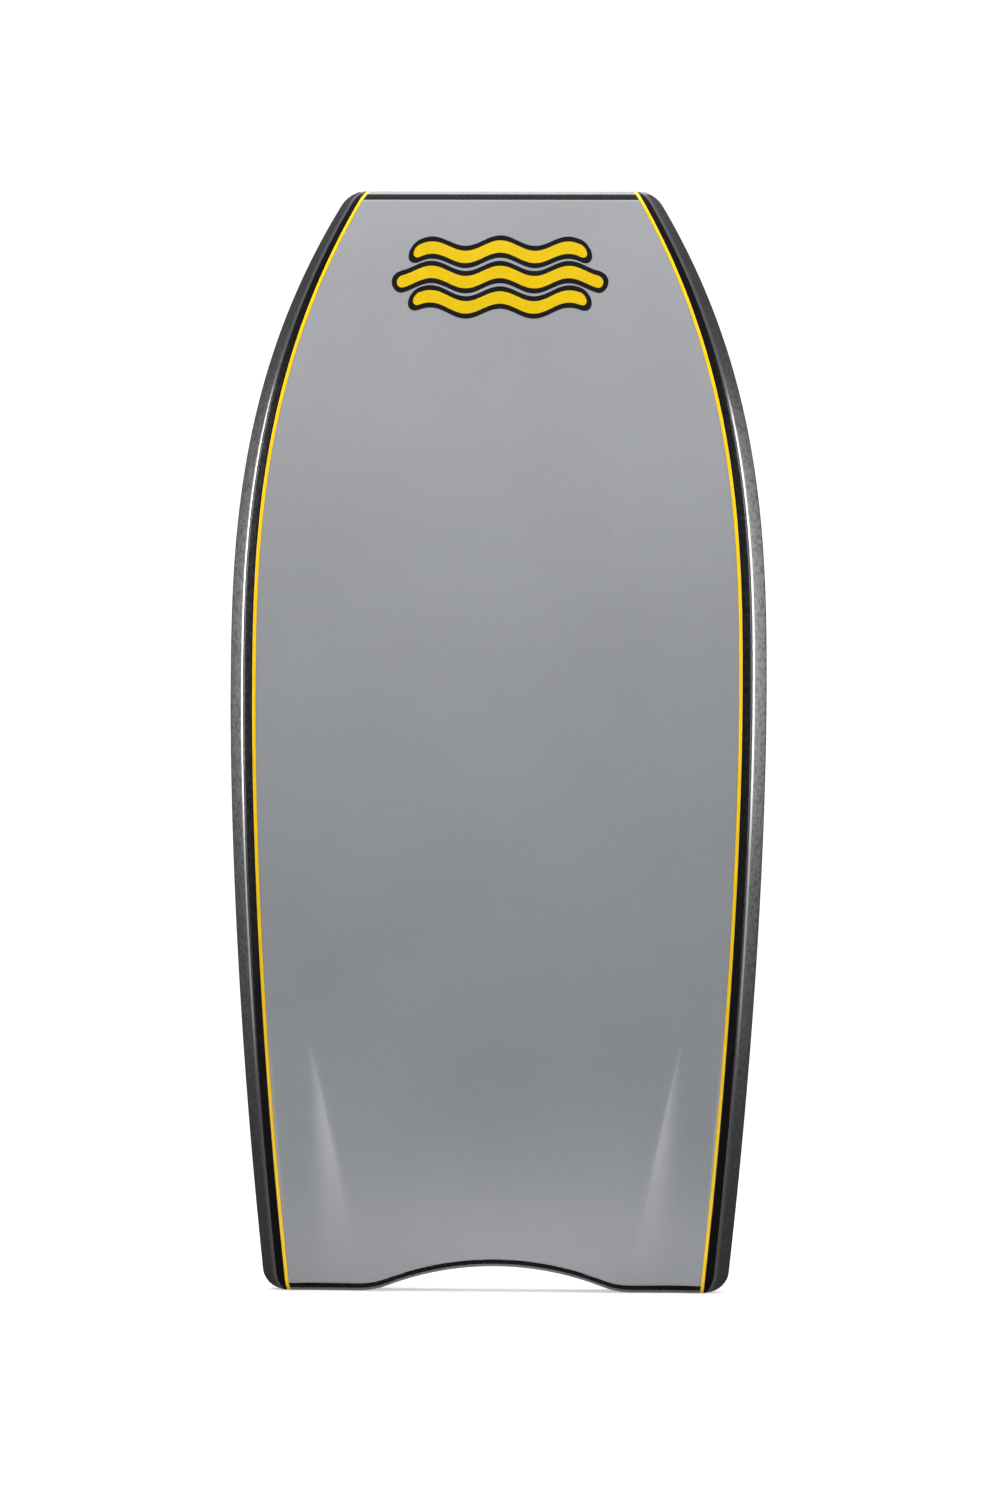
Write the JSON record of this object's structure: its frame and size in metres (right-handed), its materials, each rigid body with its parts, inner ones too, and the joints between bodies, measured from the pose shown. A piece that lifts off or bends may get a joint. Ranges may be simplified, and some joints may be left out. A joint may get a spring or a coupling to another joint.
{
  "type": "bodyboard",
  "caption": "Laminated foam bodyboard with a slick plastic bottom, tail channels, a crescent tail, foam strip rails and an internal stringer tube.",
  "frame": {"origin": "bottom centre of the bounding box, between the two tail corners that the board stands on", "axes": "+Z from the tail to the nose, +X to the right as seen from the slick side, +Y from the slick to the deck"},
  "size_m": [0.52, 0.0856, 1.067],
  "materials": {
    "core_foam": "fine-cell foam, hidden inside",
    "composite_tube": "satin wound fibre tube",
    "cap_plastic": "moulded plastic",
    "slick_grey": "satin film with a fine pebble",
    "backing_foam": "fine-cell foam, hidden inside",
    "polymer_mesh": "open polymer grid, hidden inside",
    "deck_foam": "textured closed-cell foam",
    "black_foam": "smooth-skinned closed-cell foam",
    "charcoal_foam": "grained closed-cell foam",
    "yellow_film": "smooth film",
    "black_print": "printed film",
    "yellow_print": "printed film"
  },
  "bodies": {
    "root": {"core": "core_foam", "stringer_tube": "composite_tube", "stringer_nose_cap": "cap_plastic", "stringer_tail_cap": "cap_plastic", "stringer_bore_plug": "core_foam", "slick_film": "slick_grey", "slick_backing": "backing_foam", "slick_mesh": "polymer_mesh", "deck_skin": "deck_foam", "deck_mesh": "polymer_mesh", "chine_left": "black_foam", "chine_right": "black_foam", "side_rail_left": "charcoal_foam", "side_rail_right": "charcoal_foam", "top_rail_left": "charcoal_foam", "top_rail_right": "charcoal_foam", "pinline_left": "yellow_film", "pinline_right": "yellow_film", "nose_bumper_lower": "black_foam", "nose_bumper_upper": "charcoal_foam", "tail_bumper_lower": "black_foam", "tail_bumper_upper": "charcoal_foam", "emblem_outline": "black_print", "emblem_fill": "yellow_print"}
  },
  "joints": []
}
